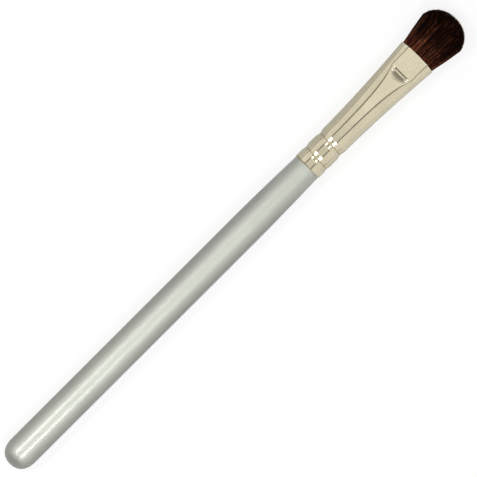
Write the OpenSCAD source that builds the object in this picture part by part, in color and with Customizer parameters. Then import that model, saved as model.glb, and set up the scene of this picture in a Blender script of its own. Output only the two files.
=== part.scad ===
// Eyeshadow brush, lying on its side on a flat surface, with its hair towards +X.
// A dipped wooden handle ends in a tenon. A drawn metal ferrule is glued and crimped over the
// tenon, pressed flat towards its mouth and dented across, and holds the tied and potted hair.
// The origin is on the surface, under the middle of the brush.

/* [Handle] */
// Length of the handle that shows, from the butt to the ferrule
handle_len = 103.9; // [80:0.1:130]
// Diameter of the straight grip
handle_d = 8.3; // [7.9:0.1:9.5]
// Length of the rounded butt
butt_len = 5.4; // [3.5:0.1:7]
// Length of the curved taper before the ferrule
taper_len = 23.8; // [12:0.2:35]
// Diameter of the handle where it meets the ferrule
neck_d = 7.5; // [7.3:0.05:7.8]
// Thickness of the lacquer on the wood
lacquer_t = 0.2; // [0.1:0.02:0.3]
// Length of the bare tenon inside the ferrule
tenon_len = 13; // [11:0.5:15]
// Chamfer on the end of the tenon
tenon_chamfer = 0.6; // [0.3:0.1:1]
// Thickness of the glue between tenon and ferrule
glue_t = 0.1; // [0.05:0.01:0.14]

/* [Ferrule] */
// Length of the ferrule
ferrule_len = 38.8; // [34:0.1:46]
// Outer diameter of the ferrule's round part
ferrule_d = 7.86; // [7.7:0.02:8.2]
// Wall of the ferrule
ferrule_wall = 0.35; // [0.25:0.05:0.4]
// Distance of the rear crimp from the ferrule's rear edge
rear_crimp_at = 3.1; // [2.5:0.1:4.2]
// Distance of the front crimp from the ferrule's rear edge
front_crimp_at = 8; // [7:0.1:9]
// Width of the rear crimp
rear_crimp_w = 2.4; // [1.6:0.1:3]
// Width of the front crimp
front_crimp_w = 2.8; // [1.8:0.1:3.2]
// Depth of the rear crimp
rear_crimp_depth = 0.2; // [0.1:0.02:0.3]
// Depth of the front crimp
front_crimp_depth = 0.28; // [0.1:0.02:0.36]
// Width of the ferrule's mouth
mouth_w = 10.7; // [9.5:0.1:12]
// Thickness of the ferrule's mouth, across the pressed faces
mouth_h = 5; // [4.4:0.1:6]
// Length of the pressed flat panel, back from the mouth
panel_len = 5.8; // [4:0.1:7.5]
// Width of the flat at the mouth
panel_front_w = 4; // [3:0.1:4.6]
// Width of the flat at the panel's rear edge
panel_rear_w = 4.7; // [3.5:0.1:5]
// Thickness over the panel's rear edge
panel_rear_h = 5.3; // [5:0.1:6]
// How far the mouth's edge is set back at its two sides
mouth_bow = 0.33; // [0:0.01:0.5]

/* [Dent] */
// Width of the half-moon dent across the ferrule
dent_w = 5.4; // [4.4:0.1:5.8]
// Length of the dent along the ferrule
dent_len = 2.4; // [1.8:0.1:3]
// Length of the dent's short front slope, from its straight front edge to its bottom
dent_front_len = 0.75; // [0.6:0.05:1]
// Depth of the dent at its bottom
dent_depth = 0.4; // [0.2:0.05:0.5]

/* [Hair] */
// Length of the hair that shows
hair_len = 13.3; // [11:0.1:17]
// Width over the hair where it is fullest
belly_w = 13; // [12:0.1:14.5]
// Thickness over the hair where it is fullest
belly_h = 5.5; // [4.8:0.1:6.4]
// Distance from the mouth to the fullest place
belly_at = 7.8; // [6:0.1:10]
// Length of the domed end
dome_len = 7; // [5:0.1:9]
// Width of the dome that the hair's end follows
dome_w = 13.3; // [13:0.1:15]
// Thickness of the dome that the hair's end follows
dome_h = 6.6; // [6.5:0.1:8]
// Length of hair held inside the ferrule
root_len = 12.5; // [11:0.1:14]
// Gap between the hair and the ferrule's wall
hair_gap = 0.08; // [0.06:0.01:0.12]
// Height above the mouth up to which the strands fan out in straight lines
bend_at = 3.2; // [2:0.1:4.5]
// How far the fused slice lies back from the mouth
slice_back = 0.4; // [0.2:0.1:0.8]
// Thickness of the slice that the strands are fused to
slice_t = 1; // [0.6:0.1:1.6]

/* [Binding] */
// Length of the epoxy plug behind the hair
plug_len = 4.4; // [3:0.1:6]
// Gap between the epoxy and the ferrule's wall
plug_gap = 0.02; // [0.01:0.01:0.05]
// Diameter of the tying thread
thread_d = 0.4; // [0.3:0.05:0.5]
// Turns of the tying thread
thread_turns = 4; // [3:1:5]
// Distance of the first turn from the root end of the hair
thread_at = 1.2; // [0.8:0.1:2]
// Gap between the thread and the hair under it
thread_gap = 0.02; // [0.01:0.01:0.05]

/* [Hidden] */

$fn = 96;
// A quarter of a lofted section runs from its middle out to the dent's end in these shares, on to a
// line just beyond the dent in even steps, and to its side in even turns.
dent_point_shares = [0, 0.25, 0.48, 0.68, 0.85, 1];
beyond_points = 2;
turn_points = 7;
quarter = len(dent_point_shares) - 1 + beyond_points + turn_points;
sides = 4 * quarter;
// The power of distance across that makes the dent's bottom flat and its outline full
dent_power = 4;
// How far beyond the dent the line lies, and the most of the section's half width that it may reach
beyond_share = 1.15;
line_limit_share = 0.84;
// How square the butt is: the powers of its superellipse along and across the axis
butt_power_along = 2.7;
butt_power_across = 2.2;
butt_steps = 14;
taper_steps = 10;
crimp_step = 0.2;

overall_len = handle_len + ferrule_len + hair_len;
mouth_x = handle_len + ferrule_len;

// Land between the front crimp and the lofted part, and how the loft is nested in the tube's wall
join_land = 0.6;
nest_len = 0.4;
nest_depth = 0.03;
join_at = front_crimp_at + front_crimp_w / 2 + join_land;
panel_at = ferrule_len - panel_len;

// How the pressed faces close in and how the flat opens, as powers of the distance
spread_power = 1.7;
press_power = 2;
flat_power = 6;
// The part of a quarter turn, as a cosine, over which the flat is laid out
flat_cos = 0.3;
flat_softness = 6;

// Strands across and through the hair, and the share of its cell that a strand takes
strands_across = 24;
strands_through = 13;
fan_power = 0.72;
// How square the domed end is: 2 makes it an ellipsoid
dome_power = 2.2;
strand_shares = [0.84, 0.82, 0.62];
taper_from_share = 0.78;
tip_scatter = 0.3;
// How far the corners of the strands' cells are shaken, as a share of a cell
shake_share = 0.25;
tip_seed = 7;
shake_seed = 11;

// Handle

// Radius of the rounded butt at share s of its length, on a superellipse of the given radius.
function butt_r(s, r) = r * pow(1 - pow(1 - s, butt_power_along), 1 / butt_power_across);

// Outline of the handle from the butt to the shoulder, as [radius, distance], drawn in by inset.
function handle_outline(inset) =
    let (r = handle_d / 2 - inset,
         neck = neck_d / 2 - inset,
         taper_from = handle_len - taper_len)
    concat(
        [for (i = [0 : butt_steps])
            let (s = pow(i / butt_steps, 2))
            [butt_r(s, r), inset + s * (butt_len - inset)]],
        [for (i = [0 : taper_steps])
            let (s = i / taper_steps)
            [r - (r - neck) * s * s, taper_from + s * taper_len]]);

function reversed(list) = [for (i = [len(list) - 1 : -1 : 0]) list[i]];

// Turns an outline of [radius, distance] about the brush's axis, which runs along +X.
module turned(outline) {
    rotate([0, 90, 0])
        rotate_extrude()
            polygon(outline);
}

module handle_core() {
    end_r = ferrule_d / 2 - ferrule_wall - glue_t;
    end_x = handle_len + tenon_len;
    color("#d8b888")
        turned(concat(
            handle_outline(lacquer_t),
            tube_outline(join_at, ferrule_wall + glue_t),
            [[end_r, end_x - tenon_chamfer], [end_r - tenon_chamfer, end_x], [0, end_x]]));
}

module handle_lacquer() {
    color("#c6c9c1")
        turned(concat(handle_outline(0), reversed(handle_outline(lacquer_t))));
}

// Ferrule, with distances measured from its rear edge

// A slope that leaves both its ends level: 1 at 0 and nothing from 1 on.
function ease(u) = abs(u) < 1 ? pow(cos(90 * u), 2) : 0;

// A smooth groove across the wall: 1 in the middle of its width and 0 outside it.
function groove(x, at, width) = ease(2 * (x - at) / width);

function round_r(x) =
    ferrule_d / 2
    - rear_crimp_depth * groove(x, rear_crimp_at, rear_crimp_w)
    - front_crimp_depth * groove(x, front_crimp_at, front_crimp_w);

// Distances along the crimped tube: its ends, and even steps over each crimp.
function crimp_stations(at, width) =
    let (n = ceil(width / crimp_step))
    [for (i = [0 : n]) at + width * (i / n - 1 / 2)];

function crimped_stations(from, to) = concat(
    [from],
    crimp_stations(rear_crimp_at, rear_crimp_w),
    crimp_stations(front_crimp_at, front_crimp_w),
    [to]);

function share_of(x, from, to) = min(max((x - from) / (to - from), 0), 1);

// Half the width, half the thickness and half the flat of the ferrule's section.
function half_w(x) =
    ferrule_d / 2 + (mouth_w - ferrule_d) / 2 * pow(share_of(x, join_at, ferrule_len), spread_power);

function half_h(x) =
    x < panel_at
        ? ferrule_d / 2 - (ferrule_d - panel_rear_h) / 2 * pow(share_of(x, join_at, panel_at), press_power)
        : panel_rear_h / 2 - (panel_rear_h - mouth_h) / 2 * share_of(x, panel_at, ferrule_len);

function half_flat(x) =
    x < panel_at
        ? panel_rear_w / 2 * pow(share_of(x, join_at, panel_at), flat_power)
        : panel_rear_w / 2 - (panel_rear_w - panel_front_w) / 2 * share_of(x, panel_at, ferrule_len);

// Rises from -1 to 1 and levels off softly, to lay out the flat between the section's two rounds.
function soft_step(u) = u / pow(1 + pow(abs(u), flat_softness), 1 / flat_softness);

// How far out a section reaches at cosine c, and its point [y, z] at angle a, for half axes w and h
// and half flat f.
function reach(c, w, f) = (w - f) * c + f * soft_step(c / flat_cos);

function section_point(a, w, h, f) = [reach(cos(a), w, f), h * sin(a)];

// The angle at which a section reaches y, by halving the cosine's range.
function angle_at(y, w, f, low = 0, high = 1, rounds = 24) =
    let (c = (low + high) / 2)
    rounds == 0 ? acos(c)
    : reach(c, w, f) < y ? angle_at(y, w, f, c, high, rounds - 1)
    : angle_at(y, w, f, low, c, rounds - 1);

// Where x lies on the dent's slopes: 0 at its bottom, 1 at its rear tip and -1 at its front edge.
dent_bottom = panel_at - dent_front_len;

function dent_share(x, inset) =
    let (back = dent_bottom - x)
    back > 0 ? back / (dent_len - dent_front_len + inset) : back / (dent_front_len + inset);

// How far the wall is pushed in at [x, y], for a skin that lies inset below the outside.
function dent(x, y, inset) =
    let (u = dent_share(x, inset),
         v = pow(abs(y) / (dent_w / 2 + inset), dent_power / 2))
    dent_depth * (u > 0 ? ease(norm([u, v])) : ease(u) * ease(v));

// The angles of a quarter section, from its side at 0 to its middle at 90.
function quarter_angles(x, inset) =
    let (w = half_w(x) - inset,
         f = half_flat(x),
         line = min(beyond_share * (dent_w / 2 + inset), line_limit_share * w),
         edge = line / beyond_share,
         last = len(dent_point_shares) - 1)
    concat(
        [for (i = [0 : turn_points - 1]) angle_at(line, w, f) * i / turn_points],
        [for (i = [0 : beyond_points - 1]) angle_at(line + (edge - line) * i / beyond_points, w, f)],
        [for (i = [last : -1 : 1]) angle_at(dent_point_shares[i] * edge, w, f)],
        [90]);

// The closed ring of a skin at distance x, inset below the outside.
function skin_ring(x, inset) =
    let (angles = quarter_angles(x, inset),
         w = half_w(x) - inset,
         bow = mouth_bow * share_of(x, slice_rear, ferrule_len))
    [for (i = [0 : sides - 1])
        let (turn = floor(i / quarter),
             k = i % quarter,
             a = turn % 2 == 0 ? 90 * turn + angles[k] : 90 * (turn + 1) - angles[quarter - k],
             p = section_point(a, w, half_h(x) - inset, half_flat(x)),
             push = dent(x, p[0], inset))
        [handle_len + x - bow * pow(p[0] / w, 2), p[0], p[1] - sign(p[1]) * push]];

// Distances of the rings of a skin, as shares of the four stretches that they cover.
transition_shares = [0.02, 0.12, 0.25, 0.38, 0.5, 0.61, 0.71, 0.8, 0.88, 0.95];
dent_shares = [0, 0.1, 0.24, 0.38, 0.52, 0.66, 0.82, 1];
dent_front_shares = [0.3, 0.55, 0.8, 1];
panel_shares = [0.3, 0.65, 1];

function skin_stations(inset) =
    let (dent_from = panel_at - dent_len - inset,
         dent_to = panel_at + inset)
    concat(
        [for (s = transition_shares) join_at + s * (dent_from - join_at)],
        [for (s = dent_shares) dent_from + s * (dent_bottom - dent_from)],
        [for (s = dent_front_shares) dent_bottom + s * (dent_to - dent_bottom)],
        [for (s = panel_shares) dent_to + s * (ferrule_len - dent_to)]);

// The stations of a skin that lie between two distances, with those distances at the ends.
function stations_between(from, to, inset) =
    concat([from], [for (x = skin_stations(inset)) if (x > from && x < to) x], [to]);

// Joins rings of points into a skin: each quad between two rings is two triangles.
function skin_faces(rows, n, wraps) =
    [for (r = [0 : wraps ? rows - 1 : rows - 2], i = [0 : n - 1], half = [0, 1])
        let (a = r * n + i,
             b = r * n + (i + 1) % n,
             c = ((r + 1) % rows) * n + (i + 1) % n,
             d = ((r + 1) % rows) * n + i)
        half == 0 ? [a, c, b] : [a, d, c]];

// A solid through rings of points, either closed on itself or capped by fans at both ends.
module lofted(rings, wraps) {
    n = len(rings[0]);
    rows = len(rings);
    ends = [for (ring = [rings[0], rings[rows - 1]]) [ring[0][0], 0, axis_point(ring)]];
    points = concat([for (ring = rings) each ring], wraps ? [] : ends);
    caps = [for (i = [0 : n - 1], end = [0, 1])
        let (first = end * (rows - 1) * n, centre = rows * n + end, next = (i + 1) % n)
        end == 0 ? [first + i, first + next, centre] : [first + next, first + i, centre]];
    polyhedron(points = points, faces = concat(skin_faces(rows, n, wraps), wraps ? [] : caps));
}

// The height of a ring's middle.
function axis_point(ring) = (ring[round(len(ring) / 4)][2] + ring[round(3 * len(ring) / 4)][2]) / 2;

// The outline of the crimped tube up to a distance, inset below the outside.
function tube_outline(to, inset) =
    [for (x = crimped_stations(0, to)) [round_r(x) - inset, handle_len + x]];

module ferrule() {
    nest_from = join_at - nest_len;
    color("#e0d8c0") {
        turned(concat(tube_outline(join_at, 0), reversed(tube_outline(join_at, ferrule_wall))));
        lofted(
            concat(
                [for (x = [nest_from, join_at]) skin_ring(x, nest_depth)],
                [for (x = skin_stations(0)) skin_ring(x, 0)],
                [for (x = reversed(skin_stations(ferrule_wall))) skin_ring(x, ferrule_wall)],
                [for (x = [join_at, nest_from]) skin_ring(x, ferrule_wall - nest_depth)]),
            true);
    }
}

module tenon_glue() {
    film_to = join_at - nest_len;
    color("#d9cb93")
        turned(concat(
            tube_outline(film_to, ferrule_wall),
            reversed(tube_outline(film_to, ferrule_wall + glue_t))));
}

// Hair and its binding, with distances measured from the ferrule's rear edge

slice_front = ferrule_len - slice_back;
slice_rear = slice_front - slice_t;
root_from = ferrule_len - root_len;
thread_from = root_from + thread_at;
thread_to = thread_from + thread_turns * thread_d;
hair_inset = ferrule_wall + hair_gap;
waist_inset = hair_inset + thread_d;

module epoxy_plug() {
    color("#c79b45")
        lofted(
            [for (x = stations_between(root_from - plug_len, root_from, 0))
                skin_ring(x, ferrule_wall + plug_gap)],
            false);
}

module hair_root() {
    color("#35170f")
        lofted(
            concat(
                [skin_ring(root_from, hair_inset), skin_ring(thread_from, hair_inset)],
                [for (x = stations_between(thread_from, thread_to, 0)) skin_ring(x, waist_inset)],
                [for (x = stations_between(thread_to, slice_rear, hair_inset)) skin_ring(x, hair_inset)]),
            false);
}

module root_thread() {
    valley = thread_d / 2;
    color("#eee8d8")
        lofted(
            concat(
                [for (i = [0 : 2 * thread_turns])
                    skin_ring(thread_from + i * thread_d / 2, hair_inset + (i % 2 == 0 ? valley : 0))],
                [for (x = [thread_to, thread_from]) skin_ring(x, waist_inset - thread_gap)]),
            true);
}

// Where a strand of the hair lies: q is its place in the unit disc, and h the height above the mouth.
// The layers of hair are as flat as the mouth at the outside and round off towards the middle.
function fan(h) = pow(max(h, 0) / belly_at, fan_power);

function hair_place(q, h) =
    let (mouth = [half_w(slice_rear), half_h(ferrule_len)] - [hair_inset, hair_inset],
         w = mouth[0] + (belly_w / 2 - mouth[0]) * fan(h),
         t = mouth[1] + (belly_h / 2 - mouth[1]) * fan(h),
         f = panel_front_w / 2 * pow(norm(q), 2),
         p = section_point(atan2(q[1], q[0]), w, t, f))
    norm(q) * p;

// Height of the domed end over a strand, found by closing in on it.
function dome_height(q, h, rounds = 6) =
    let (p = hair_place(q, h),
         rest = 1 - pow(abs(2 * p[0] / dome_w), dome_power) - pow(abs(2 * p[1] / dome_h), dome_power),
         next = hair_len - dome_len + dome_len * pow(max(rest, 0), 1 / dome_power))
    rounds == 0 ? next : dome_height(q, next, rounds - 1);

// The square grid of cells, shaken inside its edge and laid into the unit disc.
columns = strands_across + 1;
shakes = rands(-shake_share, shake_share, 2 * columns * (strands_through + 1), shake_seed);

function shaken(i, last, shake) = 2 * (i + (i > 0 && i < last ? shake : 0)) / last - 1;

function cell_corner(i, j) =
    let (k = 2 * (j * columns + i),
         u = shaken(i, strands_across, shakes[k]),
         v = shaken(j, strands_through, shakes[k + 1]))
    [u * sqrt(1 - v * v / 2), v * sqrt(1 - u * u / 2)];

corner_steps = [[0, 0], [1, 0], [1, 1], [0, 1]];

module hair_tuft() {
    scatter = rands(0, tip_scatter, strands_across * strands_through, tip_seed);
    front_x = handle_len + slice_front;
    // The slice's front face is the grid of cells, and its rear face a fan inside the grid's edge.
    front_points = [for (j = [0 : strands_through], i = [0 : strands_across])
        let (p = hair_place(cell_corner(i, j), 0))
        [front_x, p[0], p[1]]];
    edge = concat(
        [for (i = [0 : strands_across - 1]) i],
        [for (j = [0 : strands_through - 1]) j * columns + strands_across],
        [for (i = [strands_across : -1 : 1]) strands_through * columns + i],
        [for (j = [strands_through : -1 : 1]) j * columns]);
    around = len(edge);
    rear_points = [for (k = edge) front_points[k] - [slice_t, 0, 0]];
    rear_centre = [front_x - slice_t, 0, 0];
    // Each strand has three rings of four points and a tip.
    strand_points = [for (j = [0 : strands_through - 1], i = [0 : strands_across - 1])
        let (corners = [for (c = corner_steps) cell_corner(i + c[0], j + c[1])],
             middle = (corners[0] + corners[1] + corners[2] + corners[3]) / 4,
             trimmed = scatter[j * strands_across + i] * norm(middle),
             top = dome_height(middle, hair_len / 2) - trimmed,
             heights = [-slice_back, bend_at, bend_at + taper_from_share * (top - bend_at)])
        each concat(
            [for (k = [0 : 2], c = corners)
                let (q = middle + strand_shares[k] * (c - middle),
                     p = hair_place(q, heights[k]))
                [mouth_x + heights[k], p[0], p[1]]],
            [let (p = hair_place(middle, top)) [mouth_x + top, p[0], p[1]]])];
    rear_first = len(front_points);
    centre = rear_first + around;
    strand_first = centre + 1;
    per_strand = 13;
    slice_faces = [for (k = [0 : around - 1], half = [0, 1, 2])
        let (next = (k + 1) % around)
        half == 0 ? [edge[k], edge[next], rear_first + next]
        : half == 1 ? [edge[k], rear_first + next, rear_first + k]
        : [rear_first + k, rear_first + next, centre]];
    strand_faces = [for (j = [0 : strands_through - 1], i = [0 : strands_across - 1])
        let (first = strand_first + per_strand * (j * strands_across + i),
             cell = [for (c = corner_steps) (j + c[1]) * columns + i + c[0]])
        each concat(
            [for (k = [0 : 3], half = [0, 1])
                let (next = (k + 1) % 4)
                half == 0 ? [cell[k], first + k, first + next] : [cell[k], first + next, cell[next]]],
            [for (ring = [0, 1], k = [0 : 3], half = [0, 1])
                let (next = (k + 1) % 4, low = first + 4 * ring, high = low + 4)
                half == 0 ? [low + k, high + k, high + next] : [low + k, high + next, low + next]],
            [for (k = [0 : 3]) [first + 8 + k, first + 12, first + 8 + (k + 1) % 4]])];
    color("#2c120c")
        polyhedron(
            points = concat(front_points, rear_points, [rear_centre], strand_points),
            faces = concat(slice_faces, strand_faces));
}

// The brush lies along X with its grip on the surface.
module placed() {
    translate([-overall_len / 2, 0, handle_d / 2])
        children();
}

placed() handle_core();
placed() handle_lacquer();
placed() tenon_glue();
placed() ferrule();
placed() epoxy_plug();
placed() hair_root();
placed() root_thread();
placed() hair_tuft();
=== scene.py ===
import math

import bpy
import numpy as np
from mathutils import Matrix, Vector


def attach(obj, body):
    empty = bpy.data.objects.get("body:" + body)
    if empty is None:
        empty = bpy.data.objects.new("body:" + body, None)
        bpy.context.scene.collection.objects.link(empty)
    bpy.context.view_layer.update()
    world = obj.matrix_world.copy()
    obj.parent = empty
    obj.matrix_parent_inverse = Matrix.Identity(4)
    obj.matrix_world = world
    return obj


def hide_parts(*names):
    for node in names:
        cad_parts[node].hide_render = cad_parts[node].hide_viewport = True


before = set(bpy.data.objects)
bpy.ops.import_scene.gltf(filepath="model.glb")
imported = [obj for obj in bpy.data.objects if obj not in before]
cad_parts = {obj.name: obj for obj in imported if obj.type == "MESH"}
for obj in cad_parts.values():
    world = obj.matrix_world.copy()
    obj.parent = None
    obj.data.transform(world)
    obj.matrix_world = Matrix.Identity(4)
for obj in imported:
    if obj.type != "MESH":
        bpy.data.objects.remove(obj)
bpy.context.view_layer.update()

# Handle lacquer. The real coat is a silver pearl lacquer under a clear gloss coat, dipped over the
# turned stick. It is a closed skin from the rounded butt to the shoulder that meets the ferrule.

# The brush's sizes are in millimetres: x runs from the butt, in the ferrule from its rear edge and
# in the hair from the mouth. Bumps, the table and the lamps are in metres, as the frame is.
BRUSH_LEN = 156.0
GRIP_R = 4.15
BUTT_LEN = 5.4
BUTT_POWER_ALONG = 2.7
BUTT_POWER_ACROSS = 2.2
HANDLE_LEN = 103.9
TAPER_LEN = 23.8
NECK_R = 3.75
LACQUER_T = 0.2
LACQUER_EDGE_R = 0.12
# How many profile points lie along the butt, the straight grip and the taper, and on the small round
BUTT_POINTS = 49
GRIP_POINTS = 10
TAPER_POINTS = 41
ROUND_POINTS = 7


def placed(x, y, z):
    """Millimetres from the butt and the axis, as metres in the frame: the brush's middle is at
    x = 0, and its axis one grip radius above the surface."""
    return np.stack([x - BRUSH_LEN / 2, y, z + GRIP_R], axis=-1) / 1000


def grid_faces(rows, columns, wraps=False):
    """Quads between neighbouring rows of a grid whose columns close on themselves. With wraps, the
    last row is joined to the first as well."""
    r = np.arange(rows if wraps else rows - 1)[:, None]
    c = np.arange(columns)[None, :]
    here, there = r * columns, (r + 1) % rows * columns
    beside = (c + 1) % columns
    return np.stack([here + c, here + beside, there + beside, there + c], axis=-1).reshape(-1, 4)


def new_piece(name, points, faces, replaced=()):
    """A smooth mesh object at the origin, which rides on the brush and stands for the named solids."""
    mesh = bpy.data.meshes.new(name)
    mesh.from_pydata(points.reshape(-1, 3).tolist(), [], faces)
    mesh.polygons.foreach_set("use_smooth", [True] * len(mesh.polygons))
    mesh.update()
    piece = bpy.data.objects.new(name, mesh)
    bpy.context.collection.objects.link(piece)
    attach(piece, "root")
    if replaced:
        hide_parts(*replaced)
    return piece


def turned(x, r, columns=192):
    """Surface of revolution: each profile point (x, r) goes round the axis as (x, r cos a, r sin a).
    The first and last profile points lie on the axis and close the surface as poles."""
    a = np.linspace(0, 2 * math.pi, columns, endpoint=False)
    ring = placed(np.repeat(x[1:-1, None], columns, 1), np.outer(r[1:-1], np.cos(a)),
                  np.outer(r[1:-1], np.sin(a)))
    ends = placed(x[[0, -1]], np.zeros(2), np.zeros(2))
    rows = len(x) - 2
    first = np.arange(columns)
    last = first + (rows - 1) * columns
    fans = [np.stack([np.full(columns, rows * columns), np.roll(first, -1), first], -1),
            np.stack([np.full(columns, rows * columns + 1), last, np.roll(last, -1)], -1)]
    faces = grid_faces(rows, columns).tolist() + np.concatenate(fans).tolist()
    return np.concatenate([ring.reshape(-1, 3), ends]), faces


def handle_profile(inset):
    """Radius along the handle: the butt's superellipse R (1 - (1 - s)^2.7)^(1/2.2) at the share s of
    its length, a straight grip, and a taper whose drop grows with the square of the distance.
    inset draws it in below the outside."""
    s = np.linspace(0, 1, BUTT_POINTS) ** 2
    grip = GRIP_R - inset
    butt_r = grip * (1 - (1 - s) ** BUTT_POWER_ALONG) ** (1 / BUTT_POWER_ACROSS)
    t = np.linspace(0, 1, TAPER_POINTS)
    taper_r = grip - (GRIP_R - NECK_R) * t ** 2
    straight = np.linspace(BUTT_LEN, HANDLE_LEN - TAPER_LEN, GRIP_POINTS + 2)[1:-1]
    x = np.concatenate([inset + s * (BUTT_LEN - inset), straight,
                        HANDLE_LEN - TAPER_LEN + t * TAPER_LEN])
    return x, np.concatenate([butt_r, np.full(len(straight), grip), taper_r])


def lacquer_skin():
    """The outer profile, a small round at the shoulder, and the inner profile back to the butt."""
    outer_x, outer_r = handle_profile(0)
    inner_x, inner_r = handle_profile(LACQUER_T)
    turn = np.radians(np.linspace(90, 0, ROUND_POINTS))
    round_x = HANDLE_LEN - LACQUER_EDGE_R * (1 - np.cos(turn))
    round_r = NECK_R - LACQUER_EDGE_R * (1 - np.sin(turn))
    keep = outer_x < HANDLE_LEN - LACQUER_EDGE_R
    x = np.concatenate([outer_x[keep], round_x, inner_x[::-1]])
    r = np.concatenate([outer_r[keep], round_r, inner_r[::-1]])
    return turned(x, r)


class Nodes:
    """Builds a node tree. add makes a node with its settings in props and its inputs set or linked:
    they are named with an underscore for each space, or as i0, i1 and so on by their number."""

    def __init__(self, tree):
        self.tree = tree
        tree.nodes.clear()

    def add(self, kind, props=None, **inputs):
        node = self.tree.nodes.new(kind)
        for key, value in (props or {}).items():
            setattr(node, key, value)
        for key, value in inputs.items():
            key = int(key[1:]) if key[0] == "i" and key[1:].isdigit() else key.replace("_", " ")
            self.set(node.inputs[key], value)
        return node

    def set(self, socket, value):
        if isinstance(value, bpy.types.NodeSocket):
            self.tree.links.new(value, socket)
        else:
            socket.default_value = value

    def maths(self, operation, *values):
        node = self.add("ShaderNodeMath", {"operation": operation})
        for socket, value in zip(node.inputs, values):
            self.set(socket, value)
        return node.outputs[0]

    def ramp(self, value, *stops):
        """A colour ramp through (place, colour) stops."""
        node = self.add("ShaderNodeValToRGB", i0=value)
        elements = node.color_ramp.elements
        while len(elements) < len(stops):
            elements.new(0.5)
        for element, (place, colour) in zip(elements, stops):
            element.position = place
            element.color = (*colour, 1)
        return node.outputs["Color"]

    def mix(self, factor, a, b, blend="MIX"):
        node = self.add("ShaderNodeMix", {"data_type": "RGBA", "blend_type": blend})
        for place, value in ((0, factor), (6, a), (7, b)):
            self.set(node.inputs[place], (*value, 1) if isinstance(value, tuple) else value)
        return node.outputs[2]

    def span(self, value, low, high, to_low=0.0, to_high=1.0):
        """Maps low..high softly to to_low..to_high, and holds the ends."""
        node = self.add("ShaderNodeMapRange", {"interpolation_type": "SMOOTHSTEP"}, Value=value,
                        From_Min=low, From_Max=high, To_Min=to_low, To_Max=to_high)
        return node.outputs[0]


def new_group(name, inputs, outputs):
    """A shader node group with named inputs (name, socket kind, value) and outputs (name, kind)."""
    tree = bpy.data.node_groups.new(name, "ShaderNodeTree")
    nodes = Nodes(tree)
    for label, kind, value in inputs:
        tree.interface.new_socket(label, in_out="INPUT", socket_type=kind).default_value = value
    for label, kind in outputs:
        tree.interface.new_socket(label, in_out="OUTPUT", socket_type=kind)
    return nodes, nodes.add("NodeGroupInput"), nodes.add("NodeGroupOutput")


def speckle_group():
    """Fine speckle on a surface: a noise, a weaker one three times as fine, and a slow cloud.
    Height is for a bump, and Shade varies a colour about 1."""
    nodes, given, out = new_group(
        "fine speckle",
        [("Scale", "NodeSocketFloat", 4000), ("Cloud Scale", "NodeSocketFloat", 120),
         ("Contrast", "NodeSocketFloat", 0.1)],
        [("Height", "NodeSocketFloat"), ("Shade", "NodeSocketFloat")])
    place = nodes.add("ShaderNodeTexCoord").outputs["Object"]
    coarse = nodes.add("ShaderNodeTexNoise", Vector=place, Scale=given.outputs["Scale"], Detail=1.0)
    fine = nodes.add("ShaderNodeTexNoise", Vector=place, Detail=0.0,
                     Scale=nodes.maths("MULTIPLY", given.outputs["Scale"], 3.0))
    cloud = nodes.add("ShaderNodeTexNoise", Vector=place, Scale=given.outputs["Cloud Scale"])
    height = nodes.maths("ADD", coarse.outputs[0],
                         nodes.maths("MULTIPLY", fine.outputs[0], 0.4))
    mixed = nodes.maths("ADD", nodes.maths("SUBTRACT", coarse.outputs[0], 0.5),
                        nodes.maths("SUBTRACT", cloud.outputs[0], 0.5))
    shade = nodes.maths("ADD", 1.0, nodes.maths("MULTIPLY", mixed, given.outputs["Contrast"]))
    nodes.set(out.inputs["Height"], height)
    nodes.set(out.inputs["Shade"], shade)
    return nodes.tree


def new_material(name):
    """A material with an empty node tree, and the builder of that tree."""
    material = bpy.data.materials.new(name)
    material.use_nodes = True
    return material, Nodes(material.node_tree)


def finish_material(nodes, colour, normal=None, **settings):
    """Joins a colour and a normal to the Principled shader, whose other sockets are set directly."""
    shader = nodes.add("ShaderNodeBsdfPrincipled", Base_Color=colour, **settings)
    if normal is not None:
        nodes.set(shader.inputs["Normal"], normal)
    nodes.add("ShaderNodeOutputMaterial", Surface=shader.outputs[0])


def bumped(nodes, height, strength, depth):
    """A normal that is bumped by a height of the given depth in metres."""
    return nodes.add("ShaderNodeBump", Height=height, Strength=strength, Distance=depth).outputs[0]


def shaded(nodes, colour, shade):
    """A colour multiplied by a grey value."""
    return nodes.mix(1.0, colour, nodes.add("ShaderNodeCombineXYZ", X=shade, Y=shade, Z=shade)
                     .outputs[0], "MULTIPLY")


FINE_SPECKLE = speckle_group()
PEARL_SILVER = (0.56, 0.58, 0.525)


def pearl_lacquer():
    """Fine metal flakes that blur the light, under a clear coat that is smoother than they are."""
    material, nodes = new_material("pearl_lacquer")
    flakes = nodes.add("ShaderNodeGroup", {"node_tree": FINE_SPECKLE}, Scale=5200.0,
                       Cloud_Scale=60.0, Contrast=0.16)
    colour = shaded(nodes, PEARL_SILVER, flakes.outputs["Shade"])
    finish_material(nodes, colour, bumped(nodes, flakes.outputs["Height"], strength=0.35, depth=0.00002),
                    Metallic=0.92, Roughness=0.52, Coat_Weight=1.0, Coat_Roughness=0.16)
    return material


lacquer = new_piece("handle_pearl_lacquer", *lacquer_skin(), replaced=["handle_lacquer"])
lacquer.data.materials.append(pearl_lacquer())

# Handle core. The stick is a close-grained hardwood, turned with a bare tenon that the ferrule's
# crimps press into. All of it is inside the brush.


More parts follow.
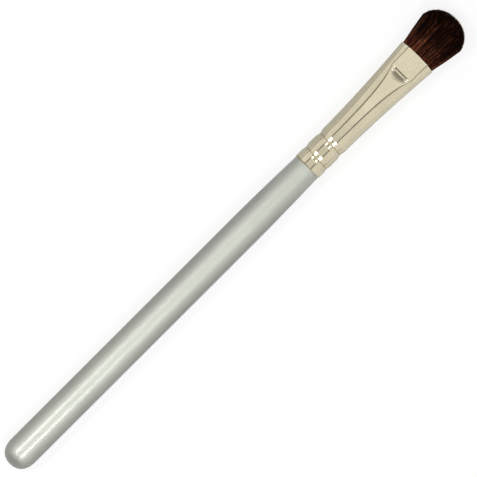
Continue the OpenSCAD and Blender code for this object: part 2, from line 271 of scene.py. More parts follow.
def streak_group():
    """Streaks along the brush: a noise whose place is squeezed along x, so that it runs in lines.
    Fac is the streak, from 0 at Low to 1 at High, and Height is for a bump."""
    nodes, given, out = new_group(
        "streaks along",
        [("Scale", "NodeSocketFloat", 2000), ("Squeeze", "NodeSocketFloat", 0.03),
         ("Low", "NodeSocketFloat", 0.3), ("High", "NodeSocketFloat", 0.7)],
        [("Fac", "NodeSocketFloat"), ("Height", "NodeSocketFloat")])
    place = nodes.add("ShaderNodeTexCoord").outputs["Object"]
    squeeze = nodes.add("ShaderNodeCombineXYZ", X=given.outputs["Squeeze"], Y=1.0, Z=1.0)
    along = nodes.add("ShaderNodeVectorMath", {"operation": "MULTIPLY"}, i0=place,
                      i1=squeeze.outputs[0])
    noise = nodes.add("ShaderNodeTexNoise", Vector=along.outputs[0], Scale=given.outputs["Scale"],
                      Detail=3.0)
    nodes.set(out.inputs["Fac"], nodes.span(noise.outputs[0], given.outputs["Low"],
                                            given.outputs["High"]))
    nodes.set(out.inputs["Height"], noise.outputs[0])
    return nodes.tree


STREAKS_ALONG = streak_group()


def dressed(node, slot_material):
    """Gives a solid that stays as it is its own material."""
    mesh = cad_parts[node].data
    mesh.materials.clear()
    mesh.materials.append(slot_material)


WOOD_DEEP = (0.5, 0.31, 0.14)
WOOD_PALE = (0.72, 0.52, 0.29)


def turned_wood():
    """Pale hardwood with grain along the stick."""
    material, nodes = new_material("turned_wood")
    grain = nodes.add("ShaderNodeGroup", {"node_tree": STREAKS_ALONG}, Scale=1500.0, Squeeze=0.04,
                      Low=0.3, High=0.7)
    colour = nodes.ramp(grain.outputs["Fac"], (0, WOOD_DEEP), (1, WOOD_PALE))
    finish_material(nodes, colour, bumped(nodes, grain.outputs["Height"], strength=0.3, depth=0.0001),
                    Roughness=0.6)
    return material


dressed("handle_core", turned_wood())

# Tenon glue. A thin film of yellowish wood glue, squeezed out between the tenon and the ferrule
# when the ferrule is pushed on.


def set_glue(name, deep, pale, roughness, transmission=0.0):
    """Cast or squeezed glue: its colour drifts between a deep and a pale tone."""
    material, nodes = new_material(name)
    cloud = nodes.add("ShaderNodeGroup", {"node_tree": FINE_SPECKLE}, Scale=1200.0,
                      Cloud_Scale=300.0, Contrast=1.0)
    fade = nodes.span(cloud.outputs["Shade"], 0.7, 1.3)
    colour = nodes.ramp(fade, (0, deep), (1, pale))
    finish_material(nodes, colour, bumped(nodes, cloud.outputs["Height"], strength=0.2, depth=0.00005),
                    Roughness=roughness, Transmission_Weight=transmission)
    return material


dressed("tenon_glue", set_glue("tenon_glue", deep=(0.6, 0.48, 0.2), pale=(0.75, 0.66, 0.36),
                               roughness=0.35))

# Hair root. The hair goes on for another 12 mm inside the ferrule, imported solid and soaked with
# epoxy at its end. The thread ties it before it is pulled in.

HAIR_DARK = (0.009, 0.0015, 0.001)
HAIR_RED = (0.09, 0.022, 0.01)


def packed_hair():
    """Fine dark and reddish lines along the hair."""
    material, nodes = new_material("packed_hair")
    lines = nodes.add("ShaderNodeGroup", {"node_tree": STREAKS_ALONG}, Scale=9000.0, Squeeze=0.02,
                      Low=0.3, High=0.75)
    colour = nodes.mix(lines.outputs["Fac"], HAIR_DARK, HAIR_RED)
    finish_material(nodes, colour, bumped(nodes, lines.outputs["Height"], strength=0.6, depth=0.00005),
                    Roughness=0.45)
    return material


dressed("hair_root", packed_hair())

# Root thread. Four turns of white cotton thread, drawn tight round the hair near its root end.


COTTON_SHADE = (0.62, 0.57, 0.47)
COTTON_LIGHT = (0.88, 0.84, 0.74)


def cotton_thread():
    """Off-white cotton with a fine diagonal twist."""
    material, nodes = new_material("cotton_thread")
    place = nodes.add("ShaderNodeTexCoord").outputs["Object"]
    twist = nodes.add("ShaderNodeTexWave", {"wave_type": "BANDS", "bands_direction": "DIAGONAL"},
                      Vector=place, Scale=2600.0, Distortion=1.5)
    colour = nodes.mix(twist.outputs["Fac"], COTTON_SHADE, COTTON_LIGHT)
    finish_material(nodes, colour, bumped(nodes, twist.outputs["Fac"], strength=0.6, depth=0.00004),
                    Roughness=0.85)
    return material


dressed("root_thread", cotton_thread())

# Epoxy plug. Amber epoxy is poured in behind the tied hair and sets in the ferrule, so that no
# hair pulls out. It can't be seen from outside.

dressed("epoxy_plug", set_glue("set_epoxy", deep=(0.42, 0.2, 0.03), pale=(0.66, 0.4, 0.09),
                               roughness=0.12, transmission=0.3))

# Ferrule. Drawn brass tube, nickel plated to a champagne tone. It is rolled into the handle with
# two crimp rings, pressed flat towards its mouth, and dented across both flats to grip the glue.

# The tube, with lengths from its rear edge, and the rounding of that edge and of the mouth's rim
FERRULE_R = 3.93
FERRULE_LEN = 38.8
WALL = 0.35
EDGE = 0.02
EDGE_RING = 0.01
RIM = 0.16
RIM_CHAMFER = 0.05
# Crimp rings: the place, width and depth of each, and how they lean across the tube
CRIMPS = [(3.1, 2.4, 0.2), (8.0, 2.8, 0.28)]
CRIMP_LEAN = 0.05
# The loft from the round tube to the pressed panel and its mouth
LOFT_FROM = 10.0
SPREAD_POWER = 1.7
PRESS_POWER = 2
FLAT_POWER = 6
FLAT_COS = 0.3
FLAT_SOFTNESS = 6
PANEL_FROM = 33.0
MOUTH_HALF_W = 5.35
PANEL_HALF_H = 2.65
MOUTH_HALF_H = 2.5
PANEL_HALF_FLAT = 2.35
MOUTH_HALF_FLAT = 2.0
MOUTH_BOW = 0.33
BOW_LEN = 1.4
# The dent: how far its bottom's front edge is behind the panel's rear end, the bottom, and the
# lengths and steepness of its slopes. The end slopes are those on the sides y > 0 and y < 0.
DENT_DEPTH = 0.3
DENT_BACK = 0.56
DENT_BOTTOM_LEN = 0.34
DENT_HALF_BOTTOM = 1.94
DENT_REAR_LEN = 2.2
DENT_FRONT_LEN = 0.45
DENT_END_LEN = (0.65, 1.2)
DENT_REAR_POWER = 2.36
DENT_FRONT_POWER = 1.42
DENT_SOFTNESS = 0.08
SEARCH_TO = 1.2
# Where the spacing of the mesh's rings changes, how many lie between these places on the outer skin
# and on the inner one, and how many round the rim
FIRST_RING = 0.1
CRIMPED_TO = 10.2
DENTED_FROM = 30
DENTED_TO = 33.6
OUTER_RINGS = (130, 50, 110, 20)
INNER_RINGS = (52, 20, 20, 6)
RIM_RINGS = 4


def ease(u):
    """A slope that leaves both its ends level: 1 at 0 and nothing from 1 on, as cos squared."""
    return np.cos(math.pi / 2 * np.clip(np.abs(u), 0, 1)) ** 2


def share(x, start, end):
    """The share of the way from start to end at which x lies, held at 0 and 1."""
    return np.clip((x - start) / (end - start), 0, 1)


def flat_step(cos):
    """How far along its flat a section's point lies, from -1 to 1, for the cosine of its angle: the
    soft step c / (1 + |c|^6)^(1/6) with c = cos a / 0.3."""
    c = cos / FLAT_COS
    return c / (1 + np.abs(c) ** FLAT_SOFTNESS) ** (1 / FLAT_SOFTNESS)


def tube_section(x, angle, inset):
    """Points y, z and half width w of the section at x. The half width opens with the power 1.7 of
    the distance, the half height closes with its square, and the half flat f between the two rounds
    opens with its 6th power: y = (w - f) cos a + f step(cos a), z = h sin a."""
    opened, pressed = share(x, LOFT_FROM, FERRULE_LEN), share(x, LOFT_FROM, PANEL_FROM)
    panel = share(x, PANEL_FROM, FERRULE_LEN)
    w = FERRULE_R + (MOUTH_HALF_W - FERRULE_R) * opened ** SPREAD_POWER - inset
    h = (FERRULE_R - (FERRULE_R - PANEL_HALF_H) * pressed ** PRESS_POWER
         - (PANEL_HALF_H - MOUTH_HALF_H) * panel - inset)
    f = PANEL_HALF_FLAT * pressed ** FLAT_POWER - (PANEL_HALF_FLAT - MOUTH_HALF_FLAT) * panel
    cos = np.cos(angle)
    return (w - f) * cos + f * flat_step(cos), h * np.sin(angle), w


def crimp_depth(x, y):
    """How far the two rolled grooves draw the wall in: each by its depth times the cos squared of
    the distance from its middle. They lean slightly across the tube."""
    return sum(depth * ease(2 * (x - at - CRIMP_LEAN * y) / width) for at, width, depth in CRIMPS)


def dent_fall(r, power):
    """The share of the dent's depth at a distance r from its bottom, from 1 at 0 to nothing at 1:
    (1 - r) ** power, with r rounded off near 0."""
    soft = DENT_SOFTNESS
    r = (np.sqrt(r ** 2 + soft ** 2) - soft) / (math.sqrt(1 + soft ** 2) - soft)
    return np.clip(1 - r, 0, 1) ** power


def dent_reach(behind, beside, rear_len, end_len):
    """How far out a point lies that is behind and beside the middle of the dent's front edge: 0 on
    the half ellipse round its bottom, with the half axes b and w, and 1 where the rear slope r and
    the end slope e have run out. Halving closes in on it in
    (behind / (b + reach r))^2 + (beside / (w + reach e))^2 = 1."""
    low = np.zeros_like(behind + beside)
    high = low + SEARCH_TO
    for _ in range(20):
        reach = (low + high) / 2
        outside = np.hypot(behind / (DENT_BOTTOM_LEN + reach * rear_len),
                           beside / (DENT_HALF_BOTTOM + reach * end_len)) > 1
        low, high = np.where(outside, reach, low), np.where(outside, high, reach)
    return (low + high) / 2


def dent_push(x, y, inset):
    """How far the half-moon dent pushes the flat in: a long slope behind its bottom with a round
    outline, a short steep one in front, and ends of two lengths."""
    behind = PANEL_FROM - DENT_BACK - x
    ahead = np.clip(-behind / (DENT_FRONT_LEN + inset), 0, None)
    end_len = np.where(y < 0, DENT_END_LEN[1], DENT_END_LEN[0]) + inset
    reach = dent_reach(np.clip(behind, 0, None), np.abs(y), DENT_REAR_LEN + inset, end_len)
    return DENT_DEPTH * dent_fall(reach, DENT_REAR_POWER) * dent_fall(ahead, DENT_FRONT_POWER)


def tube_skin(stations, inset, columns=240):
    """Rings of points at the stations, spaced evenly round each section, with the crimps' grooves,
    the dents and the bowed mouth. Returns the points as a grid [station, column]."""
    fine = np.linspace(0, 2 * math.pi, 4 * 360 + 1)
    x = stations[:, None]
    y, z, w = tube_section(x, fine[None, :], inset)
    length = np.cumsum(np.hypot(np.diff(y, prepend=y[:, :1]), np.diff(z, prepend=z[:, :1])), axis=1)
    even = np.linspace(0, 1, columns, endpoint=False)
    angle = np.stack([np.interp(even * row[-1], row, fine) for row in length])
    y, z, w = tube_section(x, angle, inset)
    squeeze = 1 - crimp_depth(x, y) / (FERRULE_R - inset)
    y, z = y * squeeze, z * squeeze
    z = z - np.sign(z) * dent_push(x, y, inset)
    bowed = x - MOUTH_BOW * share(x, FERRULE_LEN - BOW_LEN, FERRULE_LEN) * (y / w) ** 2
    return placed(HANDLE_LEN + bowed, y, z)


def ring_places(start, counts):
    """Distances along the tube: from start to the end of the crimps, over the plain loft, over the
    dent and over the panel to the rim, with as many as the counts say."""
    stops = (start, CRIMPED_TO, DENTED_FROM, DENTED_TO, FERRULE_LEN - RIM)
    stretches = [np.linspace(a, b, count) for a, b, count in zip(stops, stops[1:], counts)]
    return np.unique(np.concatenate(stretches))


def ferrule_skin():
    """The outer skin from the rear edge to the mouth, a rounded rim, and the inner skin back."""
    outer = np.concatenate([[EDGE, EDGE + EDGE_RING], ring_places(FIRST_RING, OUTER_RINGS)])
    inner = ring_places(EDGE, INNER_RINGS)[::-1]
    rings = [tube_skin(outer, 0.0)]
    for step in range(1, RIM_RINGS + 1):
        turn = math.pi / 2 * (step / RIM_RINGS)
        rings.append(tube_skin(np.array([FERRULE_LEN - RIM + RIM * math.sin(turn)]),
                               RIM * (1 - math.cos(turn))))
    rings.append(tube_skin(np.array([FERRULE_LEN]), WALL - RIM_CHAMFER))
    rings.append(tube_skin(inner, WALL))
    rings.append(tube_skin(np.array([0.0]), WALL - EDGE))
    rings.append(tube_skin(np.array([0.0]), EDGE))
    points = np.concatenate(rings)
    return points, grid_faces(*points.shape[:2], wraps=True).tolist()


# The metal's colours, among them the painted shade of the crimps' bottoms and the rear edge, how
# strongly the drawing lines and that painted shade show, how high the lines stand beside the clouds,
# and the millimetres from a ring over which its painted shade fades
PLATE = (0.88, 0.81, 0.61)
DRAWN_LINE = (0.66, 0.6, 0.46)
CREASE_SHADE = (0.5, 0.4, 0.24)
DRAWN_SHARE = 0.16
DRAWN_HEIGHT = 0.5
CREASE_SHADE_SHARE = 0.75
CREASE_SHADE_FADE = (0.04, 0.28)


def plated_metal():
    """Plated metal with drawing lines along the tube, faint clouds, and painted shade in the bottoms
    of the crimps and at the rear edge where it meets the handle, each a narrow darker band round a
    ring that leans as the crimps do."""
    material, nodes = new_material("plated_metal")
    place = nodes.add("ShaderNodeTexCoord").outputs["Object"]
    split = nodes.add("ShaderNodeSeparateXYZ", Vector=place)
    lean = nodes.maths("MULTIPLY", split.outputs["Y"], CRIMP_LEAN)
    along = nodes.maths("SUBTRACT", split.outputs["X"], lean)
    drawn = nodes.add("ShaderNodeGroup", {"node_tree": STREAKS_ALONG}, Scale=7000.0, Squeeze=0.015,
                      Low=0.25, High=0.75)
    clouds = nodes.add("ShaderNodeGroup", {"node_tree": FINE_SPECKLE}, Scale=2600.0,
                       Cloud_Scale=180.0, Contrast=0.24)
    # Painted shade: darker brown bands where shade falls in the crimps' grooves and in the joint at the
    # rear edge.
    shade_bands = 0.0
    for at in (0.0, *(crimp[0] for crimp in CRIMPS)):
        ring = (HANDLE_LEN + at - BRUSH_LEN / 2) / 1000
        away = nodes.maths("ABSOLUTE", nodes.maths("SUBTRACT", along, ring))
        band = nodes.span(away, CREASE_SHADE_FADE[0] / 1000, CREASE_SHADE_FADE[1] / 1000, CREASE_SHADE_SHARE, 0.0)
        shade_bands = nodes.maths("ADD", shade_bands, band)
    colour = shaded(nodes, PLATE, clouds.outputs["Shade"])
    colour = nodes.mix(nodes.maths("MULTIPLY", drawn.outputs["Fac"], DRAWN_SHARE), colour, DRAWN_LINE)
    colour = nodes.mix(shade_bands, colour, CREASE_SHADE)
    height = nodes.maths("ADD", nodes.maths("MULTIPLY", drawn.outputs["Height"], DRAWN_HEIGHT),
                         clouds.outputs["Height"])
    finish_material(nodes, colour, bumped(nodes, height, strength=0.035, depth=0.00002),
                    Metallic=1.0, Roughness=0.13)
    return material


ferrule = new_piece("crimped_ferrule", *ferrule_skin(), replaced=["ferrule"])
ferrule.data.materials.append(plated_metal())

# Hair. Dark brown filaments, cut to a dome and fanned out by the ferrule's pressed mouth. They are
# fine tapered strands, drawn together into locks, with paler tips from wear, which show only on the
# rim at the height of the brush's axis, together with a painted glow of light through them.

# The tuft: its length before the mouth and behind it, and its half axes across and through the flat
HAIR_LEN = 13.3
HAIR_BACK = 1.2
MOUTH_HALF = (4.87, 2.07)
HAIR_FLAT = 2.0
BELLY_AT = 7.8
BELLY_HALF = (6.5, 2.75)
WIDEST_HALF = 6.62
FAN_POWER = 0.72
DOME_LEN = 7.0
DOME_HALF = (6.75, 3.35)
DOME_POWER = 2.2
# The strands: their number and that of their locks, their thickness and how it narrows, and the
# rings of points along each, which lie closer towards its tip
STRANDS = 10400
LOCKS = 1500
BATCHES = 16
DISC_EDGE = 0.995
STRAND_R = 0.052
EVEN_TAPER = 0.3
TIP_TAPER = 0.3
TIP_TAPER_POWER = 8
STRAND_SIDES = 3
RINGS = 6
RISE_POWER = 1.8
# Their unevenness: how far the tips fall short, the share by which they are drawn to their lock,
# how far locks and strands lean in the unit disc, and their tints
LOCK_DROP = 1.3
STRAND_DROP = 0.07
LOCK_PULL = 0.5
PULL_POWER = 1.3
LOCK_LEAN = 0.011
STRAND_WAVE = 0.006
TINT = 0.45
LOCK_TINT = 0.29
STRAND_TINT = 0.26
PALE_STRANDS = 0.012
rise = 1 - (1 - np.linspace(0, 1, RINGS + 1)) ** RISE_POWER
chance = np.random.default_rng(23)


def hair_place(u, v, h):
    """Where a strand with its place (u, v) in the unit disc, at q from its middle, lies at height h
    above the mouth: y = q ((w - f) cos a + f step(cos a)), z = q t sin a. The half axes w and t widen
    from the mouth to the belly with the power 0.72 of the height, and the layers of hair are as flat
    as the mouth on the outside and rounder towards the middle."""
    fan = (np.clip(h, 0, None) / BELLY_AT) ** FAN_POWER
    w = MOUTH_HALF[0] + (BELLY_HALF[0] - MOUTH_HALF[0]) * fan
    t = MOUTH_HALF[1] + (BELLY_HALF[1] - MOUTH_HALF[1]) * fan
    q = np.hypot(u, v)
    f = HAIR_FLAT * q ** 2
    cos, sin = u / np.maximum(q, 1e-6), v / np.maximum(q, 1e-6)
    return q * ((w - f) * cos + f * flat_step(cos)), q * t * sin


def dome_height(u, v):
    """Height of the dome that the tips are cut to, over a strand, by closing in on it: the
    superellipsoid |y / a|^2.2 + |z / b|^2.2 + |x / l|^2.2 = 1."""
    h = np.full(len(u), HAIR_LEN / 2)
    for _ in range(8):
        y, z = hair_place(u, v, h)
        rest = 1 - np.abs(y / DOME_HALF[0]) ** DOME_POWER - np.abs(z / DOME_HALF[1]) ** DOME_POWER
        h = HAIR_LEN - DOME_LEN + DOME_LEN * np.clip(rest, 0, None) ** (1 / DOME_POWER)
    return h


def disc(count, jitter):
    """Places spread evenly over the unit disc on a sunflower spiral, r = sqrt(k / n) at k golden
    angles, each shaken a little."""
    k = np.arange(count) + 0.5
    r = np.sqrt(k / count)
    a = k * math.pi * (3 - math.sqrt(5))
    shake = chance.normal(0, jitter / math.sqrt(count), (2, count))
    u, v = r * np.cos(a) + shake[0], r * np.sin(a) + shake[1]
    over = np.maximum(np.hypot(u, v) / DISC_EDGE, 1)
    return u / over, v / over


def hair_strands():
    """Each strand is a tapered prism along its path in the fan, drawn towards its lock's middle as
    it rises, and waved a little. Returns the points [strand, ring, side], the tips, the strands'
    tints and their places in the disc."""
    u, v = disc(STRANDS, jitter=0.5)
    lock_u, lock_v = disc(LOCKS, jitter=0.6)
    near = np.empty(STRANDS, int)
    for some in np.array_split(np.arange(STRANDS), BATCHES):
        near[some] = np.argmin((u[some, None] - lock_u) ** 2 + (v[some, None] - lock_v) ** 2, axis=1)
    top = dome_height(u, v)
    lock_drop = chance.uniform(0, LOCK_DROP, LOCKS)[near]
    top = top - lock_drop * v ** 2 - np.abs(chance.normal(0, STRAND_DROP, STRANDS))
    h = -HAIR_BACK + (top[:, None] + HAIR_BACK) * rise
    climbed = np.clip(h / top[:, None], 0, 1)
    pull = LOCK_PULL * climbed ** PULL_POWER
    lean = chance.normal(0, LOCK_LEAN, (2, LOCKS))[:, near]
    wave = chance.normal(0, STRAND_WAVE, (2, STRANDS))
    path_u = u[:, None] + (lock_u[near] - u)[:, None] * pull + (lean[0] + wave[0])[:, None] * climbed
    path_v = v[:, None] + (lock_v[near] - v)[:, None] * pull + (lean[1] + wave[1])[:, None] * climbed
    over = np.maximum(np.hypot(path_u, path_v), 1)
    y, z = hair_place(path_u / over, path_v / over, h)
    thick = STRAND_R * (1 - EVEN_TAPER * climbed - TIP_TAPER * climbed ** TIP_TAPER_POWER)
    spin = chance.uniform(0, 2 * math.pi, STRANDS)
    a = spin[:, None] + np.arange(STRAND_SIDES) * 2 * math.pi / STRAND_SIDES
    ring_y = y[:, :-1, None] + thick[:, :-1, None] * np.cos(a)[:, None, :]
    ring_z = z[:, :-1, None] + thick[:, :-1, None] * np.sin(a)[:, None, :]
    ring_x = np.broadcast_to(h[:, :-1, None], ring_y.shape)
    mouth = HANDLE_LEN + FERRULE_LEN
    rings = placed(mouth + ring_x, np.clip(ring_y, -WIDEST_HALF, WIDEST_HALF), ring_z)
    tips = placed(mouth + h[:, -1], y[:, -1], z[:, -1])
    tint = TINT + chance.normal(0, LOCK_TINT, LOCKS)[near] + chance.normal(0, STRAND_TINT, STRANDS)
    tint = np.clip(np.where(chance.random(STRANDS) < PALE_STRANDS, 1, tint), 0, 1)
    return rings, tips, tint, v


def strand_faces(count):
    """Triangles of all strands: a base, two between each pair of rings for each side, and a tip."""
    s = np.arange(STRAND_SIDES)
    n = np.roll(s, -1)
    low = (np.arange(RINGS - 1) * STRAND_SIDES)[:, None]
    high = low + STRAND_SIDES
    last, tip = (RINGS - 1) * STRAND_SIDES, RINGS * STRAND_SIDES
    one = np.concatenate([
        s[None, ::-1],
        np.stack([low + s, low + n, high + n], -1).reshape(-1, 3),
        np.stack([low + s, high + n, high + s], -1).reshape(-1, 3),
        np.stack([last + s, last + n, np.full(STRAND_SIDES, tip)], -1)])
    return one[None] + (np.arange(count) * (tip + 1))[:, None, None]


# The hair's colour for a tint from 0 to 1, that of its roots, and the gold of its tips: a pale tone from
# wear with a painted glow
HAIR_TONES = ((0, (0.004, 0.0006, 0.0005)), (0.5, (0.023, 0.0042, 0.0024)),
              (0.85, (0.11, 0.027, 0.013)), (1, (0.26, 0.09, 0.04)))
ROOT_BROWN = (0.03, 0.007, 0.004)
WORN_GLOW_GOLD = (0.5, 0.25, 0.1)
# The spans over which the hair changes, as shares of a strand's length, and how much it does: the
# roots' brown, the painted light and shade, brighter at the roots and darker at the tips, and the
# pale tips from wear with their painted glow. The tips' gold also fades over a span of metres above
# and below the rim, and from strands of a pale tint to those of a dark one.
BROWN_SPAN = (0.1, 0.6)
BROWN_SHARE = 0.55
PAINTED_LIGHT_SPAN = (0.1, 0.72)
PAINTED_LIGHT_LEVELS = (2.05, 0.42)
MOTTLE_LOW = 0.2
MOTTLE_RANGE = 1.6
WORN_GLOW_SPAN = (0.95, 1.0)
WORN_GLOW_SHARE = 0.75
WORN_GLOW_RIM = (0.0002, 0.0011)
WORN_GLOW_TINTS = (0.3, 0.8)
WORN_GLOW_LEVELS = (0.15, 1.0)


def soft_hair():
    """Hair shaded along each strand (u) and from strand to strand (v): browner towards the roots,
    painted brighter towards the roots and darker towards the tips, mottled by a noise along the
    hair, with golden tips on the rim, which lies at the height of the brush's axis: paler from wear,
    with a painted glow of light through them there."""
    material, nodes = new_material("soft_hair")
    strand = nodes.add("ShaderNodeUVMap", {"uv_map": "OFBake"}).outputs["UV"]
    split = nodes.add("ShaderNodeSeparateXYZ", Vector=strand)
    along, tint = split.outputs["X"], split.outputs["Y"]
    place = nodes.add("ShaderNodeTexCoord").outputs["Object"]
    height = nodes.add("ShaderNodeSeparateXYZ", Vector=place).outputs["Z"]
    base = nodes.ramp(tint, *HAIR_TONES)
    mottle = nodes.add("ShaderNodeGroup", {"node_tree": STREAKS_ALONG}, Scale=6000.0, Squeeze=0.16,
                       Low=0.35, High=0.65)
    base = nodes.mix(nodes.span(along, *BROWN_SPAN, BROWN_SHARE, 0.0), base, ROOT_BROWN)
    # Painted light and shade: the hair's colour is made brighter towards the roots and darker towards
    # the tips.
    light = nodes.span(along, *PAINTED_LIGHT_SPAN, *PAINTED_LIGHT_LEVELS)
    uneven = nodes.maths("ADD", MOTTLE_LOW,
                         nodes.maths("MULTIPLY", mottle.outputs["Fac"], MOTTLE_RANGE))
    base = shaded(nodes, base, nodes.maths("MULTIPLY", light, uneven))
    # Painted glow: pale gold on the strands' tips, only on the rim at the axis height, the outline seen
    # from above; partly pale tips from wear.
    off_rim = nodes.maths("ABSOLUTE", nodes.maths("SUBTRACT", height, GRIP_R / 1000))
    worn_glow = nodes.maths("MULTIPLY", nodes.span(along, *WORN_GLOW_SPAN, 0.0, WORN_GLOW_SHARE),
                       nodes.span(off_rim, *WORN_GLOW_RIM, 1.0, 0.0))
    worn_glow = nodes.maths("MULTIPLY", worn_glow, nodes.span(tint, *WORN_GLOW_TINTS, *WORN_GLOW_LEVELS))
    colour = nodes.mix(worn_glow, base, WORN_GLOW_GOLD)
    finish_material(nodes, colour, Roughness=0.4, Specular_IOR_Level=0.05)
    return material


hair_rings, hair_tips, hair_tint, hair_v = hair_strands()
hair_material = soft_hair()
for side, chosen in (("upper", hair_v >= 0), ("lower", hair_v < 0)):
    count = int(chosen.sum())
    body = hair_rings[chosen].reshape(count, -1, 3)
    points = np.concatenate([body, hair_tips[chosen][:, None]], axis=1)
    faces = strand_faces(count)
    tuft = new_piece(f"hair_tuft_{side}", points, faces.reshape(-1, 3).tolist(),
                     replaced=["hair_tuft"] if side == "upper" else ())
    up = np.repeat(rise, [STRAND_SIDES] * RINGS + [1])
    uv = np.stack([np.broadcast_to(up, (count, len(up))),
                   np.broadcast_to(hair_tint[chosen][:, None], (count, len(up)))], -1).reshape(-1, 2)
    layer = tuft.data.uv_layers.new(name="OFBake")
    layer.data.foreach_set("uv", uv[faces.reshape(-1)].ravel())
    tuft.data.materials.append(hair_material)

# Studio. The brush lies on a white table and is seen from straight above. A pale tent is round it,
# with narrow dark gaps. Two lamps stand high beyond either end, and two nearer strips past the butt.

# The tent's gaps, how dark they are, and the spans over which their edges and the wall's fade. The
# angles are degrees from the zenith about the brush's axis.
GAP_TURN = 29
GAP_DARK = 0.88
FAR_GAP_TURN = 80
FAR_GAP_DARK = 0.6
GAP_EDGE = (1.5, 6)
WALL_EDGE = (24, 34)
WALL_LEVEL = 0.74
# The rest of the tent changes over spans of the direction's x or y
STRIP_X = (0.02, 0.1)
STRIP_LEVELS = (0.6, 0.83)
CHANNEL_Y = (0.14, 0.155)
CHANNEL_START_X = (0.18, 0.655)
CHANNEL_END_X = (0.72, 0.86)
CHANNEL_DARK = 0.7
BUTT_END_X = (-0.75, -0.62)
BUTT_END_DARK = 0.7
HAIR_END_X = (0.84, 0.9)
HAIR_END_LEVEL = 1.25
TENT_WHITE = (1.0, 0.985, 0.95, 1)
WHITE = (1, 1, 1, 1)
PLAIN_LEVEL = 0.32


def studio_world():
    """A pale tent, seen only in reflections, as a level of light for each direction. A strip
    overhead, dimmer in its middle, meets the side walls in dark gaps at 29 degrees from the zenith
    about the brush's axis, and one more gap is near the horizon. A dark channel runs towards either
    end. The end behind the butt is dark, and the one beyond the hair brighter. The world is plain
    white to the camera, and a plain level of light to the rest."""
    world = bpy.data.worlds.new("tent")
    world.use_nodes = True
    nodes = Nodes(world.node_tree)
    direction = nodes.add("ShaderNodeTexCoord").outputs["Generated"]
    split = nodes.add("ShaderNodeSeparateXYZ", Vector=direction)
    x, y, z = (split.outputs[k] for k in "XYZ")
    turn = nodes.maths("ARCTAN2", y, z)
    side = nodes.maths("ABSOLUTE", turn)
    near, far = (math.radians(degrees) for degrees in GAP_EDGE)
    gap, far_gap = (
        nodes.span(nodes.maths("ABSOLUTE", nodes.maths("SUBTRACT", angle, math.radians(degrees))),
                   near, far, darkness, 0.0)
        for angle, degrees, darkness in ((side, GAP_TURN, GAP_DARK), (turn, FAR_GAP_TURN, FAR_GAP_DARK)))
    reach = nodes.maths("ABSOLUTE", x)
    strip = nodes.span(reach, *STRIP_X, *STRIP_LEVELS)
    low, high = (math.radians(degrees) for degrees in WALL_EDGE)
    wall = nodes.maths("ADD", nodes.span(side, low, high, 0.0, WALL_LEVEL),
                       nodes.maths("MULTIPLY", strip, nodes.span(side, low, high, 1.0, 0.0)))
    across = nodes.span(nodes.maths("ABSOLUTE", y), *CHANNEL_Y, CHANNEL_DARK, 0.0)
    lengthways = nodes.maths("SUBTRACT", nodes.span(reach, *CHANNEL_START_X),
                             nodes.span(reach, *CHANNEL_END_X))
    channel = nodes.maths("MULTIPLY", across, lengthways)
    butt_end = nodes.span(x, *BUTT_END_X, BUTT_END_DARK, 0.0)
    level = nodes.maths("MULTIPLY", wall, nodes.span(x, *HAIR_END_X, 1.0, HAIR_END_LEVEL))
    for dark in (gap, far_gap, channel, butt_end):
        level = nodes.maths("MULTIPLY", level, nodes.maths("SUBTRACT", 1.0, dark))
    tent = nodes.add("ShaderNodeBackground", Color=TENT_WHITE, Strength=level)
    plain = nodes.add("ShaderNodeBackground", Color=WHITE, Strength=PLAIN_LEVEL)
    white = nodes.add("ShaderNodeBackground", Color=WHITE, Strength=1.0)
    path = nodes.add("ShaderNodeLightPath")
    glossy = nodes.add("ShaderNodeMixShader", Fac=path.outputs["Is Glossy Ray"])
    nodes.set(glossy.inputs[1], plain.outputs[0])
    nodes.set(glossy.inputs[2], tent.outputs[0])
    seen = nodes.add("ShaderNodeMixShader", Fac=path.outputs["Is Camera Ray"])
    nodes.set(seen.inputs[1], glossy.outputs[0])
    nodes.set(seen.inputs[2], white.outputs[0])
    nodes.add("ShaderNodeOutputWorld", Surface=seen.outputs[0])
    return world


bpy.context.scene.world = studio_world()

# The table: half its width in metres, its tone, the places in metres beside the head where a pool of
# light is painted on it and how much lighter it is there, and what the camera sees of it, its own
# white and the shadow's part
TABLE_HALF = 3.0
TABLE_TONE = 0.56
HEAD_X = (0.01, 0.026)
LIT_PATCH_Y = (-0.014, -0.004)
LIT_PATCH_TONES = (0.32, 0.1)
TABLE_GLOW = 0.82
TABLE_FAINT = (0.24, 0.24, 0.24, 1)


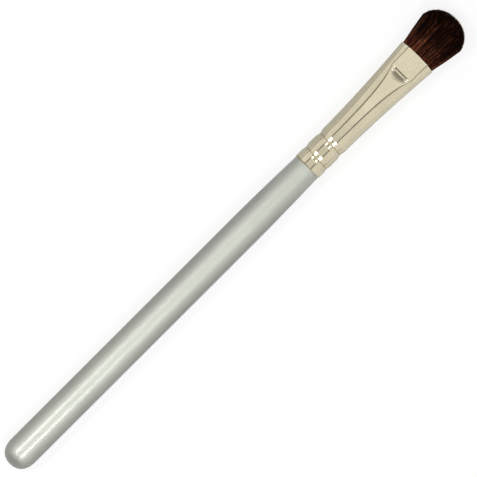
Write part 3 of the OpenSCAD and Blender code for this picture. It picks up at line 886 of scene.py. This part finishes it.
def pale_table():
    """White to the camera apart from the brush's soft shadow. To everything else it is pale grey,
    with a painted pool of light beside the ferrule and hair, brightest on the side y < 0."""
    material, nodes = new_material("pale_table")
    place = nodes.add("ShaderNodeTexCoord").outputs["Object"]
    split = nodes.add("ShaderNodeSeparateXYZ", Vector=place)
    # Painted light: a lighter pool on the table beside the ferrule and hair, brightest on the side y <
    # 0, which the metal reflects.
    by_head = nodes.span(split.outputs["X"], *HEAD_X)
    lit_patch = nodes.span(split.outputs["Y"], *LIT_PATCH_Y, *LIT_PATCH_TONES)
    tone = nodes.maths("ADD", TABLE_TONE, nodes.maths("MULTIPLY", by_head, lit_patch))
    lit = nodes.add("ShaderNodeBsdfDiffuse",
                    Color=nodes.add("ShaderNodeCombineXYZ", X=tone, Y=tone, Z=tone).outputs[0])
    white = nodes.add("ShaderNodeEmission", Color=WHITE, Strength=TABLE_GLOW)
    faint = nodes.add("ShaderNodeBsdfDiffuse", Color=TABLE_FAINT)
    shown = nodes.add("ShaderNodeAddShader")
    nodes.set(shown.inputs[0], white.outputs[0])
    nodes.set(shown.inputs[1], faint.outputs[0])
    path = nodes.add("ShaderNodeLightPath")
    mixed = nodes.add("ShaderNodeMixShader", Fac=path.outputs["Is Camera Ray"])
    nodes.set(mixed.inputs[1], lit.outputs[0])
    nodes.set(mixed.inputs[2], shown.outputs[0])
    nodes.add("ShaderNodeOutputMaterial", Surface=mixed.outputs[0])
    return material


table_mesh = bpy.data.meshes.new("table")
table_mesh.from_pydata([(-TABLE_HALF, -TABLE_HALF, 0), (TABLE_HALF, -TABLE_HALF, 0),
                        (TABLE_HALF, TABLE_HALF, 0), (-TABLE_HALF, TABLE_HALF, 0)], [], [(0, 1, 2, 3)])
table_mesh.materials.append(pale_table())
table = bpy.data.objects.new("table", table_mesh)
bpy.context.collection.objects.link(table)


def lamp(name, reach, tilt, lean, size, radiance, along=0.0):
    """An oblong area lamp at its reach from the brush's middle, tilted from the zenith towards x and
    leaning about x, turned to that middle and then moved along x. The lamp's power is its radiance
    times its area times pi."""
    data = bpy.data.lights.new(name, "AREA")
    data.shape = "RECTANGLE"
    data.size, data.size_y = size
    data.energy = radiance * size[0] * size[1] * math.pi
    place = Vector((math.sin(tilt), math.cos(tilt) * math.sin(lean), math.cos(tilt) * math.cos(lean)))
    lamp_object = bpy.data.objects.new(name, data)
    lamp_object.rotation_euler = place.to_track_quat("Z", "Y").to_euler()
    lamp_object.location = place * reach + Vector((along, 0, 0))
    lamp_object.visible_camera = False
    bpy.context.collection.objects.link(lamp_object)
    return lamp_object


SIDES = (("right", -1), ("left", 1))
for end, tilt, size, radiance in (("butt", -31, (0.3, 0.09), 4.0), ("hair", 31, (0.36, 0.12), 3.0)):
    for hand, side in SIDES:
        lamp(f"{end}_lamp_{hand}", reach=1.3, tilt=math.radians(tilt), lean=math.radians(20 * side),
             size=size, radiance=radiance)
for hand, side in SIDES:
    lamp(f"strip_{hand}", reach=0.6, tilt=0.0, lean=math.radians(25 * side), size=(0.22, 0.14),
         radiance=10.1, along=-0.2)

# Camera. It looks straight down from so far that the frame spans its 477 pixels at the height of
# the brush's axis, and it is turned so that the brush lies along the frame's diagonal.

FRAME_PX = 477
MM_PER_PX = 0.2472
FRAME_MIDDLE = (1.366, -0.531)
BRUSH_TURN = 44.97

camera_data = bpy.data.cameras.new("camera")
camera_data.type = "PERSP"
camera_data.sensor_width = 36
camera_data.lens = 400
camera_data.clip_end = 20
camera = bpy.data.objects.new("camera", camera_data)
bpy.context.collection.objects.link(camera)
distance = FRAME_PX * MM_PER_PX * camera_data.lens / camera_data.sensor_width
camera.location = (FRAME_MIDDLE[0] / 1000, FRAME_MIDDLE[1] / 1000, (GRIP_R + distance) / 1000)
camera.rotation_euler = (0, 0, math.radians(-BRUSH_TURN))
bpy.context.scene.camera = camera
bpy.context.scene.view_settings.view_transform = "Standard"
